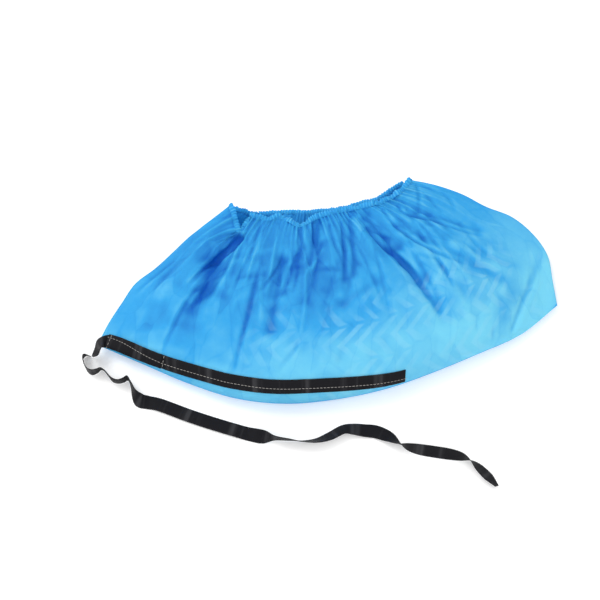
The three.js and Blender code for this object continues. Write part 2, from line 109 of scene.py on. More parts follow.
# Named creases of the upper wall: their points in plan, the depth at the start, in the middle and
# at the end, the half width, and how far the cloth to the left of the line stands proud.
CREASES = (
    (((-67, 41), (-74, 33.5), (-84, 25), (-97, 13), (-106, 0)), (3.4, 2.8, 0.6), 2.1, -1.0),
    (((-101, -5), (-108, -18), (-114, -30), (-119, -43), (-124, -56)), (0.9, 1.3, 0.5), 1.8, -0.6),
    (((-33, 30), (-36.8, 15.6), (-43, 4), (-50, -8)), (0.4, 1.4, 0.5), 1.3, 0.6),
    (((-50, 18), (-54.5, 3), (-58.8, -23), (-64.4, -48), (-70, -73)), (0.4, 1.6, 0.8), 1.8, 0.5),
    (((-3, 30), (-10, 14), (-16, 4.8), (-16.7, -24), (-21, -52)), (-1.0, -1.2, -0.5), 1.2, 0.0),
    (((-20, -50), (-25, -61), (-36, -74)), (0.5, 1.0, 0.5), 1.3, 0.4),
    (((-28, 13.5), (-22, 14.8), (-16, 12.5)), (0.4, 0.8, 0.2), 2.0, 0.6),
    (((-9, 10), (3, 10.8), (14, 9)), (0.3, 0.8, 0.2), 2.0, 0.6),
    (((13, 56), (13.9, 38), (14.5, 20), (14.2, 0)), (0.9, 2.5, 1.2), 2.0, 0.6),
    (((2, 54), (5.4, 39.3), (8, 30), (12, 20)), (0.9, 1.5, 0.5), 1.4, 0.5),
    (((-10, 58), (-8.7, 39), (-5.7, 24)), (1.2, 2.4, 0.4), 2.4, -0.4),
    (((34, 52), (40, 38), (52, 28), (60, 18), (67, 8), (75, -9), (86, -27)),
     (1.2, 3.0, 0.9), 2.2, 1.0),
    (((57, 69), (62, 63), (72, 60), (85, 57), (98, 52), (111, 48), (124, 45)),
     (1.2, 1.7, 0.3), 1.4, 0.7),
    (((45, 66), (53, 54), (66, 41), (83, 27.6), (98, 20), (116, 15)), (1.1, 1.6, 0.4), 1.4, 0.7),
    (((72, 24), (80, 20.5), (87, 18), (92, 10), (96, 1)), (0.5, 1.2, 0.3), 1.2, 0.5),
    (((170, 30), (163, 14), (155, -6), (147, -26), (143.5, -36)), (0.4, 1.0, 1.9), 2.4, 1.3),
    (((127, -47), (127.6, -41), (128, -35)), (1.3, 1.1, 0.3), 1.3, 0.3),
    (((66, 89), (75, 87), (84, 84), (95, 79)), (0.8, 1.2, 0.3), 1.3, 1.2),
    (((94, 82), (100, 75), (103, 66)), (0.7, 0.9, 0.2), 1.2, 0.3),
    (((73, 86), (74.5, 77), (74, 64)), (0.8, 1.1, 0.3), 1.2, 0.4),
    (((77, 82), (85, 73), (92, 64)), (0.4, 0.8, 0.3), 1.2, 0.3),
    (((-119, 24), (-132, 14), (-148, -1)), (0.5, 0.9, 0.4), 1.4, 0.8),
    (((-139, -17), (-132, 2), (-118, 20)), (0.3, 0.7, 0.3), 1.8, 0.3),
    (((30, 60), (40, 47), (53, 40)), (0.8, 1.3, 0.4), 1.5, 0.6),
    (((104, 60), (120, 34), (137, 22), (150, 20)), (0.3, 1.0, 0.4), 2.0, 0.6),
)

# Patches of painted shade and painted light, where the cloth is painted deeper or paler: a middle
# in plan, two radii, the heading of the first one in degrees, and the change of painted shading.
PAINTED_SHADING_PATCHES = (
    (-90, 9, 24, 8, 76, -0.34),
    (-79, 32, 13, 3, 46, -0.2),
    (-106, -30, 26, 7, 66, -0.14),
    (-126, -22, 20, 4, 84, -0.1),
    (-136, -26, 18, 3, 78, -0.08),
    (-7, 33, 15, 4.5, 96, -0.3),
    (57, 22, 24, 5, -48, -0.18),
    (14, 22, 22, 3.5, 90, -0.24),
    (0, 16, 34, 27, 0, -0.1),
    (44, 48, 22, 8, -48, -0.02),
    (-84, -18, 84, 50, -10, -0.13),
    (0, -14, 50, 26, 0, -0.16),
    (8, -48, 62, 20, 6, -0.12),
    (32, 58, 30, 12, 10, 0.08),
    (-58, -22, 28, 3.5, 78, -0.3),
    (-40, 6, 16, 4, 62, -0.1),
    (-72, 42, 8, 2.5, 55, -0.2),
    (-112, -46, 58, 24, -22, -0.15),
    (-96, 40, 26, 9, 42, -0.08),
    (110, 12, 26, 9, -30, -0.08),
    (96, -10, 20, 5, 80, -0.12),
    (122, 22, 26, 5, 76, -0.1),
    (138, -18, 26, 6, 70, -0.24),
    (166, -8, 34, 9, 66, 0.42),
    (60, -52, 100, 22, 14, 0.16),
    (-140, -28, 34, 18, -20, -0.05),
    (150, 40, 26, 14, -45, 0.1),
    (-25, -10, 14, 9, 80, 0.12),
    (-76, -30, 22, 7, 75, 0.05),
    (38, 4, 26, 12, -70, 0.1),
    (-62, 30, 22, 7, 70, 0.1),
)

# How the upper rim is bent at the heel's end of the mouth: share from heel to toe, and the shift
# in plan and in height. The bend fades over RIM_REACH millimetres below the rim.
RIM = {
    "share": (0, 0.035, 0.07, 0.1, 0.135, 0.165, 0.2, 0.25, 0.3, 0.35, 0.395, 0.47, 0.56, 1),
    "dx": (0, 1, 1.5, 0, -2.5, -1.5, 0, 0, 0, 0, 0, 0, 0, 0),
    "dy": (0, -6, -13, -13.5, -6.5, 1.5, 0, -4, -1, -5.5, -7, -2.5, 0, 0),
    "dz": (0, -1, -5, -5.5, -1, 1, 0.5, 0, 0, -0.5, -0.5, 0, 0, 0),
}
RIM_REACH = 17

# The sewn ribbon's middle: share along the sole, and distance from the sole's edge over the cloth.
STRIP = {
    "along": (0.638, 0.59, 0.52, 0.44, 0.36, 0.28, 0.2, 0.1, 0.05, 0.016),
    "up": (7.5, 9.5, 13, 15.5, 15, 14, 12.5, 9, 7.5, 6),
}
LAP_FROM = 0.148  # the ribbon is doubled from here to the heel

# The thread's row along the sewn ribbon, as shares of its width down from its upper edge.
STITCH_LINE = {
    "along": (0.636, 0.45, 0.3, 0.15, 0.11, 0.06, 0.018),
    "down": (0.68, 0.66, 0.62, 0.6, 0.5, 0.33, 0.25),
}
HEEL_STITCH = 0.022  # where a row of stitches crosses the ribbon near the heel
STITCH_SHARE = 0.84  # a stitch's share of the pitch

# The flap that the ribbon makes past the heel seam, and the direction across it.
FLAP = {
    "x": (-174.1, -176, -177.8, -180.2),
    "y": (-46.2, -49.8, -53, -54.5),
    "z": (12.9, 10.2, 7.4, 6),
    "wide_x": (0.35, 0.48, 0.5, 0.2),
    "wide_y": (-0.75, -0.5, -0.44, -0.44),
    "wide_z": (0.4, 0.7, 0.74, 0.86),
}

# The free ribbon's middle line in plan, from the flap to its tip, and how its width is rolled:
# 0 and 180 degrees lie flat, and 90 stands on edge.
TAIL = (
    (-182.8, -53.7, 70), (-185.3, -52.7, 74), (-187.6, -54.6, 84), (-186.4, -60, 90),
    (-183.5, -65.3, 90), (-180, -67.2, 88), (-176.2, -66.1, 94), (-173, -64.3, 101),
    (-169.2, -67.3, 95), (-164.3, -73.1, 92), (-159.6, -74.8, 94), (-155.5, -73.7, 92),
    (-152.3, -72.1, 90), (-149.6, -77.2, 84), (-146.6, -84.8, 64), (-142.5, -89, 24),
    (-136.5, -90, 2), (-127, -92.2, -5), (-105, -100.7, -5), (-85.3, -107.5, -5),
    (-66, -113.5, -4), (-55, -116.5, 8), (-47.5, -118.9, 40), (-40, -120.3, 88),
    (-28, -121.7, 102), (-16.7, -122.7, 115), (-7, -121.7, 128), (2, -118.2, 142),
    (12, -112.8, 147), (19.5, -112.1, 160), (28, -112.8, 172), (37, -113.8, 176),
    (46, -118, 160), (53.4, -124.1, 118), (60.3, -127.2, 80), (69.3, -129.2, 60),
    (80.5, -131, 55), (91.6, -132.9, 58), (100.4, -135.2, 76), (107.7, -138.4, 115),
    (113.5, -143.6, 140), (120, -150.6, 144), (125.3, -157.4, 128),
)

# Shares of the sole over which the walls part at the heel and at the toe.
HEEL_OPEN, TOE_OPEN = 0.17, 0.24

# The rounding at the sole takes this share of a wall's rows. The lower wall's rounding runs in by
# UNDER_ROUND, and it rises to the hem over UNDER_RISE.
ROUND_SHARE = 0.34
UNDER_ROUND, UNDER_RISE = 9, 34

# The folds set in over FOLD_START from the sole, and the random and the named creases sooner.
# Where dips meet, they join to one with FOLD_JOIN as the power. SEAM_FADE is the share of the sole
# over which the named creases fade at a seam.
FOLD_START, FOLD_JOIN = 30, 3
RANDOM_START, NAMED_START, SEAM_FADE = 14, 8, 0.03

# Random creases that run in from the mouth, that lie anywhere on the upper wall, and on the lower
# wall: a seed, their number, the range of their lengths, the spread of their headings, and the
# ranges of their heights and half widths.
MOUTH_CREASES = (11, 64, (22, 80), 0.16, (0.35, 1.15), (0.9, 2.4))
WALL_CREASES = (5, 120, (16, 60), 0.5, (0.25, 0.85), (2, 8))
UNDER_CREASES = (17, 60, (20, 70), 0.4, (0.1, 0.3), (2.5, 7))

# Small gathers that run in from the elastic: their number, height and reach.
GATHERS = ((58, 0.6, 7), (33, 0.95, 15), (17, 1.1, 30), (9, 0.8, 52))

# How a hollow deepens the painted shade: passes of smoothing, strength and limits, for wide and for
# narrow ones. Then the passes that soften the painted light and shade, and a low mark below which
# the painted shade deepens more slowly.
WIDE_HOLLOW_SHADE = (70, 0.07, -1, 1.8)
NARROW_HOLLOW_SHADE = (7, 0.42, -0.5, 0.7)
SHADING_PASSES, SHADING_LOW = 2, 0.3

HEM_WIDTH, HEM_THICK = 4.6, 2.2
RIBBON_WIDTH = 10.8

# How far the ribbon's two layers and the stitches on them stand off the cloth.
SEWN_RISE, LAPPED_RISE = 0.35, 0.95
SEWN_STITCH_RISE, LAPPED_STITCH_RISE = 0.4, 1.0

# The free ribbon's gap to the surface, the height of its cupping and the angle in radians that
# the cupping runs through, its narrower tip, and its lowest point in metres.
TAIL_GAP, TAIL_CUP, TAIL_SWAY = 0.08, 0.35, 34
TIP_STEPS, TIP_SHARE = 14, 0.62
TAIL_LOWEST = 0.00005

# How finely the pieces are made. A wall's rows are those on its rounding and those above it.
COLUMNS, NEAR_ROWS, FAR_ROWS = 352, (26, 75), (14, 25)
HEM_STEPS, HEM_SIDES = 1500, 14
RIBBON_STEPS, RIBBON_POINTS, FLAP_STEPS, TAIL_STEPS = 260, 9, 39, 520
RIBBON_ACROSS = np.linspace(-RIBBON_WIDTH / 2, RIBBON_WIDTH / 2, RIBBON_POINTS)
MAP_UNIT = 100  # millimetres to one unit of the cloth map

# Patterns on the cloth: the pitch of its bonded points, the size of the crinkle facets whose
# light and shade are painted, and the printed chevrons' pitch, the distance of their rows, and
# where they start along the sole and end on either side of it. Then the ribbon's cross ribs, its
# warp and the start of its woven edge.
BOND_PITCH, FACET_SIZE = (1.3, 1.1), (17, 40)
TREAD_PITCH, TREAD_ROWS = 14.0, 30.0
TREAD_START, TREAD_END = (85.0, 190.0), (70.0, 92.0)
RIB_PITCH, WARP_PITCH, RIBBON_EDGE = 0.55, 0.36, (4.5, 4.9)

# The camera: what it looks at, its angle above the floor, its distance in metres, its lens, and
# how many metres it sees.
CAMERA_TARGET = (-20.5, -3.4, 0)
CAMERA_TILT = math.radians(65)
CAMERA_DISTANCE, CAMERA_LENS, CAMERA_REACH = 1.1, 83.6, 20

# The studio lights: place and size in metres, power and tint.
LIGHTS = {
    "key_light": ((-0.75, 0.6, 1.1), 0.9, 9, (1.0, 0.99, 0.97)),
    "fill_light": ((1.1, -0.6, 1.1), 1.5, 3, (0.97, 0.99, 1.0)),
    "front_light": ((-0.2, -1.4, 1.0), 1.4, 5, (1.0, 1.0, 1.0)),
}
# The light from all round, the floor's own light, its half width and its height.
SKY_STRENGTH, FLOOR_GLOW = 0.86, 0.2
FLOOR_HALF, FLOOR_Z = 6000, -0.05
WHITE = (1.0, 1.0, 1.0, 1.0)


# Shapes: smooth lines, the walls, and what bends them.


class Line:
    """A smooth curve through the rows of a table, read at shares from 0 to 1."""

    def __init__(self, *columns):
        rows = np.array(columns, float).T
        self.rows = np.vstack([2 * rows[0] - rows[1], rows, 2 * rows[-1] - rows[-2]])

    def __call__(self, share):
        spans = len(self.rows) - 3
        at = np.clip(np.asarray(share, float), 0, 1) * spans
        i = np.minimum(np.floor(at).astype(int), spans - 1)
        w = (at - i)[..., None]
        a, b, c, d = (self.rows[i + k] for k in range(4))
        start, end = (c - a) / 2, (d - b) / 2
        bend = 3 * (c - b) - 2 * start - end
        twist = 2 * (b - c) + start + end
        return b + start * w + bend * w**2 + twist * w**3


def station(*names):
    return Line(*(STATIONS[name] for name in names))


SOLE = station("sole_x", "sole_y")
MOUTH = {True: station("near_x", "near_y"), False: station("far_x", "far_y")}
HEIGHTS = station("crown", "round", "edge", "near_z", "far_z")
HEEL = Line(*HEEL_SEAM.values())
TOE = Line(*TOE_SEAM.values())


def smooth(value):
    value = np.clip(value, 0, 1)
    return value * value * (3 - 2 * value)


def mix(a, b, share):
    return a + (b - a) * share


def unit(vectors):
    return vectors / np.linalg.norm(vectors, axis=-1, keepdims=True)


def arc(points, axis):
    """Distance travelled along a line of points, or over a grid along one of its directions."""
    steps = np.linalg.norm(np.diff(points, axis=axis), axis=-1)
    return np.cumsum(np.pad(steps, [(int(k == axis), 0) for k in range(steps.ndim)]), axis=axis)


def even_ring(columns, steps, passes=24):
    """Columns of points along a closed line, read at even steps of the first one and smoothed,
    with the distance travelled and the whole length before them."""
    rings = [np.vstack([points, points[:1]]) for points in columns]
    way = arc(rings[0], 0)
    at = np.linspace(0, 1, steps, endpoint=False) * way[-1]
    made = [np.stack([np.interp(at, way, values) for values in ring.T], -1) for ring in rings]
    for _ in range(passes):
        made = [(np.roll(ring, 1, 0) + 2 * ring + np.roll(ring, -1, 0)) / 4 for ring in made]
    return at, way[-1], *made


def wander(rng, length, way, spacing, spread):
    """A random value that drifts along a line, with a new aim at every spacing."""
    aims = rng.normal(0, spread, int(length / spacing) + 2)
    return np.interp(way, np.arange(0, length + spacing, spacing), aims)


def openness(u):
    """How far the walls have parted at a share along the sole, from 0 to 1."""
    return np.minimum(np.minimum(u / HEEL_OPEN, (1 - u) / TOE_OPEN), 1)


def wall_width(u, near):
    return np.linalg.norm(SOLE(u) - MOUTH[near](u), axis=-1)


def to_stretch(x, y, x0, y0, dx, dy):
    """The share along a straight stretch that is nearest to a point, and the way from there."""
    along = np.clip(((x - x0) * dx + (y - y0) * dy) / (dx * dx + dy * dy), 0, 1)
    return along, x - x0 - along * dx, y - y0 - along * dy


def fold_depth(x, y):
    """The depth of the main folds at a point in plan."""
    dips, ridges = np.zeros(np.shape(x)), np.zeros(np.shape(x))
    for x0, y0, x1, y1, deep0, deep1, half, sharp in FOLDS:
        along, px, py = to_stretch(x, y, x0, y0, x1 - x0, y1 - y0)
        off = np.hypot(px, py) / half
        trough = mix(np.exp(-(off**2)), np.exp(-1.5 * (np.hypot(off, 0.12) - 0.12)), sharp)
        depth = mix(deep0, deep1, along) * trough
        dips += np.maximum(depth, 0) ** FOLD_JOIN
        ridges += np.minimum(depth, 0)
    return dips ** (1 / FOLD_JOIN) + ridges


def face_point(u, run, rise, near):
    """A point of a wall's outer face, run millimetres in from the sole's edge."""
    width = wall_width(u, near)
    v = run / width
    v_column = v[..., None]
    edge = MOUTH[near](u)
    across = mix(SOLE(u), edge, v_column)
    along = mix(HEEL(v)[..., :2], TOE(v)[..., :2], u[..., None])
    heel_chord = mix(SOLE(0.0), MOUTH[near](0.0), v_column)
    toe_chord = mix(SOLE(1.0), MOUTH[near](1.0), v_column)
    flat = across + along - mix(heel_chord, toe_chord, u[..., None])
    crown, rounding, edge_z, near_z, far_z = np.moveaxis(HEIGHTS(u), -1, 0)
    seam = np.where(u < 0.5, HEEL(v)[..., 2], TOE(v)[..., 2])
    weld = (0.25 + 2.2 * np.clip(v, 0, 1) ** 4) * np.clip(run / 3, 0, 1)
    open_share = np.sin(math.pi / 2 * openness(u))
    if near:
        inner = smooth((run - rounding) / (width - rounding))
        crown_z = mix(edge_z, crown, rise) + (near_z - crown) * inner
        folds = fold_depth(flat[..., 0], flat[..., 1]) * smooth(run / FOLD_START)
        height = mix(seam + weld, crown_z - folds, open_share)
    else:
        lift = smooth(1 - (width - run) / UNDER_RISE)
        height = mix(seam - weld, edge_z * (1 - rise) + far_z * lift, open_share)
    return np.concatenate([flat, height[..., None]], -1)


def grid_normals(grid):
    """Outward normals of a grid of points."""
    normal = np.cross(np.gradient(grid, axis=0), np.gradient(grid, axis=1))
    return normal / np.maximum(np.linalg.norm(normal, axis=-1, keepdims=True), 1e-9)


def line_offset(points, x, y, steps=26):
    """Signed distance from a smooth line in plan, positive to its left, and the share along it."""
    path = Line(*zip(*points))(np.linspace(0, 1, steps))
    best = np.full(np.shape(x), np.inf)
    side, share = np.zeros_like(best), np.zeros_like(best)
    for k, (a, b) in enumerate(zip(path[:-1], path[1:])):
        dx, dy = b - a
        along, px, py = to_stretch(x, y, *a, dx, dy)
        far = np.hypot(px, py)
        near = far < best
        best = np.where(near, far, best)
        side = np.where(near, np.sign(dx * py - dy * px), side)
        share = np.where(near, (k + along) / (steps - 1), share)
    return best * side, share


def named_creases(x, y):
    """The relief of the named creases: a sharp dip, with a raised lip on one side."""
    relief = np.zeros(np.shape(x))
    for points, depths, half, lip in CREASES:
        offset, share = line_offset(points, x, y)
        depth = np.interp(share, (0, 0.5, 1), depths)
        dip = np.exp(-1.3 * (np.hypot(offset / half, 0.25) - 0.25))
        raised = np.exp(-(((offset - np.sign(lip) * 1.9 * half) / (1.2 * half)) ** 2))
        relief += depth * (abs(lip) * 0.45 * raised - dip)
    return relief


def painted_patches(x, y):
    """The painted shade and painted light of the patches at a point in plan."""
    tone = np.zeros(np.shape(x))
    for x0, y0, long, short, heading, change in PAINTED_SHADING_PATCHES:
        c, s = math.cos(math.radians(heading)), math.sin(math.radians(heading))
        along, off = (x - x0) * c + (y - y0) * s, (y - y0) * c - (x - x0) * s
        tone += change * np.exp(-((along / long) ** 2) - (off / short) ** 2)
    return tone


def softened(values, passes):
    """Values on a grid, each averaged with its neighbours a number of times."""
    for _ in range(passes):
        wide = np.pad(values, [(1, 1), (1, 1)] + [(0, 0)] * (values.ndim - 2), "edge")
        values = (wide[:-2, 1:-1] + wide[2:, 1:-1] + wide[1:-1, :-2] + wide[1:-1, 2:]) / 4
    return values


def hollow(grid, passes):
    """How far each point of a grid lies below the smoothed surface round it."""
    return np.sum((softened(grid, passes) - grid) * grid_normals(grid), -1)


def creases(x, y, starts, seed, count, lengths, turn, deep, half):
    """Random straight creases in plan. starts gives each one's place and heading."""
    rng = np.random.default_rng(seed)
    relief = np.zeros(np.shape(x))
    for _ in range(count):
        x0, y0, heading = starts(rng)
        heading += rng.normal(0, turn)
        length = rng.uniform(*lengths)
        reach = rng.uniform(*half)
        height = rng.uniform(*deep) * rng.choice([-1, 1])
        dx, dy = math.cos(heading), math.sin(heading)
        along = ((x - x0) * dx + (y - y0) * dy) / length
        off = np.abs((x - x0) * dy - (y - y0) * dx) / reach
        fade = smooth((1 - np.abs(along * 2 - 1)) * 2.5)
        relief += height * fade * np.exp(-np.hypot(off, 0.15))
    return relief


def gathers(u, below, seed):
    """The small gathers: many short ones and fewer long ones."""
    rng = np.random.default_rng(seed)
    relief = np.zeros(np.shape(u))
    for count, height, reach in GATHERS:
        sway = sum(
            rng.uniform(0.2, 0.5) / k * np.sin(2 * math.pi * (k * u * 3 + rng.random()))
            for k in range(1, 4)
        )
        wave = np.sin(2 * math.pi * count * u + 2.4 * sway)
        strength = 0.55 + 0.45 * np.sin(2 * math.pi * (5 * u + rng.random()) + 3 * sway)
        relief += height * strength * (1 - 2 * np.abs(wave) ** 0.7) * np.exp(-below / reach)
    return relief


# Meshes: plain ones from points, and tubes.


def new_object(name, data):
    made = bpy.data.objects.new(name, data)
    bpy.context.scene.collection.objects.link(made)
    return made


def new_piece(name, points, faces, uv=None, tone=None):
    """A smooth mesh object from millimetre points, with a map pair and a value of painted light and
    shade for each point.
    """
    mesh = bpy.data.meshes.new(name)
    places = (np.reshape(points, (-1, 3)) * MM).tolist()
    mesh.from_pydata(places, [], [tuple(int(i) for i in face) for face in faces])
    mesh.validate()
    mesh.shade_smooth()
    if uv is not None:
        layer = mesh.uv_layers.new(name="cloth_map")
        corners = np.zeros(len(mesh.loops), np.int32)
        mesh.loops.foreach_get("vertex_index", corners)
        pairs = np.asarray(uv, np.float32).reshape(-1, 2)
        layer.data.foreach_set("uv", pairs[corners].ravel())
    if tone is not None:
        attribute = mesh.attributes.new("tone", "FLOAT", "POINT")
        attribute.data.foreach_set("value", np.asarray(tone, np.float32).ravel())
    return new_object(name, mesh)


def grid_faces(rows, columns):
    index = np.arange(rows * columns).reshape(rows, columns)
    corners = index[:-1, :-1], index[1:, :-1], index[1:, 1:], index[:-1, 1:]
    return np.stack(corners, -1).reshape(-1, 4)


def finish_modifiers(piece):
    """Makes a piece a plain mesh with its modifiers applied."""
    bpy.context.view_layer.update()
    graph = bpy.context.evaluated_depsgraph_get()
    mesh = bpy.data.meshes.new_from_object(
        piece.evaluated_get(graph), preserve_all_data_layers=True, depsgraph=graph
    )
    piece.modifiers.clear()
    piece.data = mesh
    return piece


def thicken(piece, thickness, offset):
    shell = piece.modifiers.new("gauge", "SOLIDIFY")
    shell.thickness = thickness
    shell.offset = offset
    shell.use_even_offset = False
    return finish_modifiers(piece)


def swept(name, middle, across, through, profile, closed, tone=None):
    """A tube of one profile per frame. profile is frames by points by (across, through)."""
    count, sides = profile.shape[:2]
    points = (
        middle[:, None]
        + across[:, None] * profile[..., :1]
        + through[:, None] * profile[..., 1:]
    )
    ring, beside = np.arange(sides), np.roll(np.arange(sides), -1)
    here = np.arange(count if closed else count - 1)[:, None] * sides
    ahead = (here + sides) % (count * sides)
    corners = here + ring, ahead + ring, ahead + beside, here + beside
    faces = np.stack(corners, -1).reshape(-1, 4).tolist()
    if not closed:
        faces += [list(range(sides))[::-1], [(count - 1) * sides + i for i in ring]]
    points = points.reshape(-1, 3)
    a, b, c = (points[[face[i] for face in faces]] - points.mean(0) for i in range(3))
    if np.einsum("ij,ij->i", a, np.cross(b, c)).sum() < 0:
        faces = [face[::-1] for face in faces]
    uv = np.stack([np.repeat(arc(middle, 0), sides), profile[..., 0].ravel()], -1) / MAP_UNIT
    return new_piece(name, points, faces, uv, tone)


def ribbon_profile(count, width, thick, steps=7):
    """A flat section with eased edges, the same for every frame."""
    w, h, ease = width / 2, thick / 2, thick * 0.4
    inner = np.linspace(-w + ease, w - ease, steps)
    under = np.stack([inner, np.full(steps, -h)], -1)
    over = np.stack([inner[::-1], np.full(steps, h)], -1)
    section = np.vstack([under, [[w, 0]], over, [[-w, 0]]])
    return np.repeat(section[None], count, 0)


# Finishes: materials from nodes.


def add_node(tree, kind, settings, inputs):
    """Adds a node. Its settings come first, then the links or values of its inputs."""
    made = tree.nodes.new(kind)
    for key, value in (settings or {}).items():
        if key == "stops":
            ramp = made.color_ramp
            for place, colour in value[2:]:
                ramp.elements.new(place).color = colour
            ramp.elements[0].position, ramp.elements[0].color = value[0]
            ramp.elements[-1].position, ramp.elements[-1].color = value[1]
        else:
            setattr(made, key, value)
    for key, value in inputs.items():
        value = getattr(value, "socket", value)
        if isinstance(value, bpy.types.NodeSocket):
            tree.links.new(value, made.inputs[key])
        else:
            made.inputs[key].default_value = value
    return made.outputs


def arithmetic(operation, reflected=False):
    """A method that joins a wire and a number or another wire by one Math node."""

    def method(self, other):
        return self.math(operation, *((other, self) if reflected else (self, other)))

    return method


class Wire:
    """A node's output that can be used in arithmetic."""

    __add__ = __radd__ = arithmetic("ADD")
    __mul__ = __rmul__ = arithmetic("MULTIPLY")
    __sub__, __rsub__ = arithmetic("SUBTRACT"), arithmetic("SUBTRACT", True)
    __truediv__, __pow__ = arithmetic("DIVIDE"), arithmetic("POWER")

    def __init__(self, finish, socket):
        self.finish, self.socket = finish, socket

    def math(self, operation, *terms):
        sockets = dict(enumerate(terms))
        return self.finish.node("ShaderNodeMath", {"operation": operation}, sockets)

    def __abs__(self):
        return self.math("ABSOLUTE", self)

    def between(self, low, high):
        """0 below low, 1 above high, and smooth from one to the other."""
        eased = {"interpolation_type": "SMOOTHSTEP"}
        sockets = {"Value": self, "From Min": low, "From Max": high}
        return self.finish.node("ShaderNodeMapRange", eased, sockets, "Result")

    def zigzag(self, period):
        """Distance to the nearest multiple of period."""
        return self.math("PINGPONG", self, period / 2)

    def ridges(self, period):
        """1 at every multiple of period, and 0 halfway between two."""
        return 1 - self.zigzag(period) / (period / 2)


class Finish:
    """A material under construction."""

    def __init__(self, name):
        self.material = bpy.data.materials.new(name)
        self.material.use_nodes = True
        self.tree = self.material.node_tree
        self.tree.nodes.clear()

    def node(self, kind, settings=None, sockets=None, output=0):
        return Wire(self, add_node(self.tree, kind, settings, sockets or {})[output])

    def blend(self, share, first, second):
        sockets = {0: share, 6: first, 7: second}
        return self.node("ShaderNodeMix", {"data_type": "RGBA"}, sockets, 2)

    def noise(self, vector, scale, detail=3.0, roughness=0.5):
        sockets = {"Vector": vector, "Scale": scale, "Detail": detail, "Roughness": roughness}
        return self.node("ShaderNodeTexNoise", None, sockets, "Fac")

    def place(self):
        return self.node("ShaderNodeTexCoord", None, None, "Object")

    def split(self, vector):
        made = self.node("ShaderNodeSeparateXYZ", None, {0: vector})
        return made, *(Wire(self, made.socket.node.outputs[k]) for k in (1, 2))

    def attribute(self, name):
        return self.node("ShaderNodeAttribute", {"attribute_name": name}, None, "Fac")

    def cloth_map(self):
        """Millimetres along and across the cloth."""
        along, across, _ = self.split(self.node("ShaderNodeUVMap", {"uv_map": "cloth_map"}))
        return along * MAP_UNIT, across * MAP_UNIT

    def bump(self, height, distance, strength=1.0):
        sockets = {"Height": height, "Distance": distance, "Strength": strength}
        return self.node("ShaderNodeBump", None, sockets)

    def principled(self, sockets):
        return self.node("ShaderNodeBsdfPrincipled", None, sockets)

    def output(self, shader):
        last = self.tree.nodes.new("ShaderNodeOutputMaterial")
        self.tree.links.new(shader.socket, last.inputs["Surface"])
        return self.material


def rgba(colour, scale=1.0):
    return (*(channel * scale for channel in colour), 1.0)


def cloth_finish(name, colours, printed):
    """Spun-bonded cloth: bonded points, clouded fibres, painted shade in folds and on crinkle
    facets, and a pale printed tread.
    """
    finish = Finish(name)
    where = finish.place()
    clouds = finish.noise(where, 260.0, 4.0, 0.6)
    patches = finish.noise(where, 34.0, 3.0, 0.55)
    fibres = finish.noise(where, 1900.0, 2.0, 0.7)
    along, across = finish.cloth_map()
    # Painted light and shade, carried on the mesh for each point.
    tone = finish.attribute("tone")
    shade = tone + (clouds - 0.5) * 0.12 + (patches - 0.5) * 0.2
    # Painted shade: each crinkle facet is a little lighter or darker, as if lit at its own tilt,
    # and darker along its edges.
    if printed:
        warp = (finish.noise(where, 30.0, 3.0) - 0.5) * 1.1
        cells = {"X": along / FACET_SIZE[0] + warp, "Y": across / FACET_SIZE[1] - warp * 0.6}
        crinkle = {"Vector": finish.node("ShaderNodeCombineXYZ", None, cells), "Scale": 1.0}
        cell_colour = finish.node("ShaderNodeTexVoronoi", {"feature": "F1"}, crinkle, "Color")
        facet, _, _ = finish.split(cell_colour)
        crisp = finish.node("ShaderNodeTexVoronoi", {"feature": "DISTANCE_TO_EDGE"}, crinkle)
        shade = shade + (facet - 0.5) * 0.13 + (crisp.between(0.0, 0.06) - 1) * 0.05
    # The ramp runs from painted shade in folds, through the cloth's own colour, to painted light.
    ends = (0.0, rgba(colours.cloth_shaded)), (1.0, rgba(colours.cloth_pale))
    stops = {"stops": (*ends, (0.5, rgba(colours.cloth)))}
    base = finish.node("ShaderNodeValToRGB", stops, {"Fac": shade})
    roughness = 0.62 + (fibres - 0.5) * 0.2
    off_x, off_y = (
        value.zigzag(pitch) - pitch / 4 for value, pitch in zip((along, across), BOND_PITCH)
    )
    bonds = (off_x**2 + off_y**2).between(0.02, 0.09)
    height = bonds * 0.5 + fibres * 0.7 + clouds * 0.9
    if printed:
        sway = (finish.noise(where, 22.0, 2.0) - 0.5) * 14
        row = (abs(across) + sway).zigzag(TREAD_ROWS)
        arms = (along + sway * 0.8 + row).zigzag(TREAD_PITCH)
        stroke = 1 - arms.between(1.9, 4.3)
        in_row = row.between(0.6, 2.0)
        in_field = (1 - abs(across).between(*TREAD_END)) * along.between(*TREAD_START)
        wear = finish.noise(where, 26.0, 3.0, 0.6).between(0.4, 0.66)
        tread = stroke * in_row * in_field * wear
        base = finish.blend(tread * 0.36, base, rgba(colours.tread))
        roughness = roughness - tread * 0.14
        height = height + tread * 1.2
    surface = finish.principled({
        "Base Color": base,
        "Roughness": roughness,
        "Specular IOR Level": 0.2,
        "Sheen Weight": 0.08,
        "Sheen Roughness": 0.4,
        "Sheen Tint": rgba(colours.cloth_pale),
        "Normal": finish.bump(height, 0.00016, 0.7),
    })
    glow = finish.node("ShaderNodeBsdfTranslucent", None, {"Color": rgba(colours.cloth_glow)})
    return finish.output(finish.node("ShaderNodeMixShader", None, {0: 0.32, 1: surface, 2: glow}))


